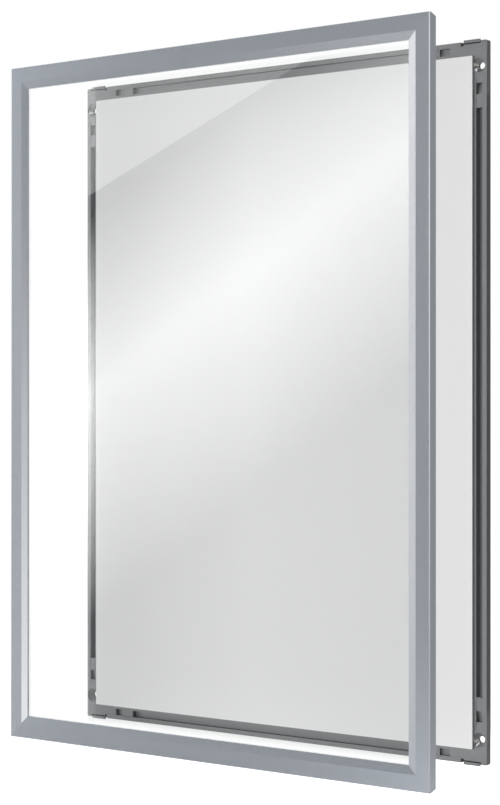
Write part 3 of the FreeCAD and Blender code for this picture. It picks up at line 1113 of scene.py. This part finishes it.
LEVEL: Point = (1.0, 0.0, 0.0)
INWARDS: Point = (0.0, 1.0, 0.0)
SOFT_CARDS = (
    SoftCard("grey_card", (-1.0, -1.7, 0.2), LEVEL, 6.0, 4.0, softness=0.4, hides=0.27),
    SoftCard("left_card", (-2.2, -1.61, 0.0), LEVEL, 1.6, 3.0, foot=0.46, head=0.54, softness=0.3),
    SoftCard("low_card", (-0.5, -1.61, -0.95), LEVEL, 0.8, 1.0, foot=1.1, head=1.0, softness=0.3),
    SoftCard("dim_card", (1.2, 2.6, 0.0), (0.97, -0.24, 0.0), 3.0, 4.0, softness=0.5, hides=0.45),
    SoftCard(
        "seat_card", (1.05, -1.0, 2.2), LEVEL, 1.5, 1.9, up=INWARDS,
        nodes=MOULDINGS, foot=12.0, head=12.0, softness=0.2,
    ),
    SoftCard(
        "left_bevel_card", (-0.974, -1.61, -0.7), LEVEL, 0.6, 2.2,
        nodes=("fascia_left",), tint=WARM_WHITE, foot=4.35, head=0.0, softness=0.15,
    ),
    SoftCard(
        "right_bevel_card", (-1.45, -1.61, 0.0), LEVEL, 0.6, 2.4,
        nodes=("fascia_right",), tint=WARM_WHITE, foot=0.0, head=3.9, softness=0.15,
    ),
    SoftCard(
        "seat_side_card", (2.0, -0.9, -0.1), (0.4, 0.92, 0.0), 2.6, 2.2,
        nodes=MOULDINGS, tint=WARM_WHITE, foot=0.2, head=8.2, softness=0.3,
    ),
    SoftCard(
        "top_bevel_card", (-0.64, -1.61, 0.23), LEVEL, 0.6, 0.5,
        nodes=("fascia_top",), tint=WARM_WHITE, foot=0.86, head=0.86, softness=0.24,
    ),
)
LAMPS = (
    Lamp("key_lamp", (-1.8, -2.8, 0.0), (3.6, 0.6), 118.0, passes=LEVEL_BARS),
    Lamp("fill_lamp", (0.5, -3.4, -0.3), (3.0, 3.0), 31.0),
    Lamp("rear_lamp", (-0.8, 3.0, 0.6), (2.5, 2.5), 50.0),
)


def white_share(graph: Graph) -> Socket:
    """Tells rays that see the white room from those that carry light to matt surfaces.

    Args:
        graph: the graph of a material or the world.

    Returns:
        A socket with 1 for camera, mirror and see-through rays and 0 for the rest.
    """
    path = graph.add("LightPath")
    seen = graph.math("ADD", path.outputs["Is Camera Ray"], path.outputs["Is Glossy Ray"])
    seen = graph.math("ADD", seen, path.outputs["Is Transmission Ray"])
    matt = graph.math("GREATER_THAN", path.outputs["Diffuse Depth"], 0.5)
    return graph.math("MULTIPLY", seen, graph.math("SUBTRACT", 1.0, matt))


@dataclass
class Studio:
    """A white room with a pale floor, soft lamps and cards that the pieces reflect.

    Attributes:
        floor_drop: how far the floor lies under the middle of the frame.
        floor_size: how wide the floor is.
        floor_colour: its colour in the lamps' light.
        floor_span: the distances from the frame between which its own glow rises.
        floor_glow: that glow, near and far.
        ambient: the room's light on matt surfaces.
        glare_reach: how far the glare card stands from the camera's mirror image, along its sight.
    """

    floor_drop: float = 0.9
    floor_size: float = 60.0
    floor_colour: Colour = (0.72, 0.72, 0.72)
    floor_span: Pair = (1.2, 2.6)
    floor_glow: Pair = (0.5, 0.97)
    ambient: float = 0.065
    glare_reach: float = 4.0

    def build(self, eye: Eye) -> None:
        """Makes the room, the floor, the lamps and the cards.

        Args:
            eye: the camera, whose mirror image faces the glare card.
        """
        bpy.context.scene.view_settings.view_transform = "Standard"
        self.build_room()
        self.build_floor()
        for light in (*LAMPS, *SOFT_CARDS):
            light.build()
        self.build_glare(eye)

    def build_room(self) -> None:
        """Makes the world: white where it is seen, dimmer where it lights."""
        world = bpy.data.worlds.new("white_room")
        world.use_nodes = True
        world.cycles.sampling_method = "NONE"
        graph = Graph(world.node_tree)
        dim = graph.add("Background", {"Color": WHITE, "Strength": self.ambient})
        white = graph.add("Background", {"Color": WHITE, "Strength": 1.0})
        mix = graph.add("MixShader", {0: white_share(graph), 1: dim.outputs[0], 2: white.outputs[0]})
        graph.add("OutputWorld", {"Surface": mix.outputs[0]})
        bpy.context.scene.world = world

    def build_floor(self) -> None:
        """Makes the pale floor, which glows enough to look white and still takes a shadow."""
        material, graph = new_material("pale_floor")
        material.cycles.emission_sampling = "NONE"
        matt = graph.add("BsdfDiffuse", {"Color": self.floor_colour})
        level = graph.ramp(graph.length(graph.place()), self.floor_span, self.floor_glow)
        seen = white_share(graph)
        glow = graph.add("Emission", {"Strength": graph.math("MULTIPLY", seen, level)})
        lit = graph.add("AddShader", {0: matt.outputs[0], 1: glow.outputs[0]})
        white = graph.add("Emission", {"Strength": 1.0})
        mirrored = graph.math("MULTIPLY", seen, graph.add("LightPath").outputs["Is Glossy Ray"])
        both = graph.add("MixShader", {0: mirrored, 1: lit.outputs[0], 2: white.outputs[0]})
        graph.add("OutputMaterial", {"Surface": both.outputs[0]})
        floor = flat_sheet("floor", (self.floor_size, self.floor_size), -self.floor_drop, material)

    def build_glare(self, eye: Eye) -> None:
        """Stands the glare card where the pane mirrors it to the camera.

        Args:
            eye: the camera.
        """
        pane_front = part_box("clear_pane")[0].y
        angle = math.radians(eye.azimuth)
        mirrored = Vector((eye.place[0], 2.0 * pane_front - eye.place[1], eye.place[2]))
        sight = Vector((-math.sin(angle), -math.cos(angle), 0.0))
        place = mirrored + self.glare_reach * sight
        across = (math.cos(angle), -math.sin(angle), 0.0)
        GlareCard("glare_card", tuple(place), across, width=1.3, height=2.0, seen_by=SeenBy.PANE).build()


def main() -> None:
    """Dresses the frame, then sets up the room and the camera."""
    logging.basicConfig(level=logging.INFO, format="%(message)s")
    eye = Eye()
    Fascia().dress()
    Back().dress()
    Studio().build(eye)
    eye.build()


if __name__ == "__main__":
    main()
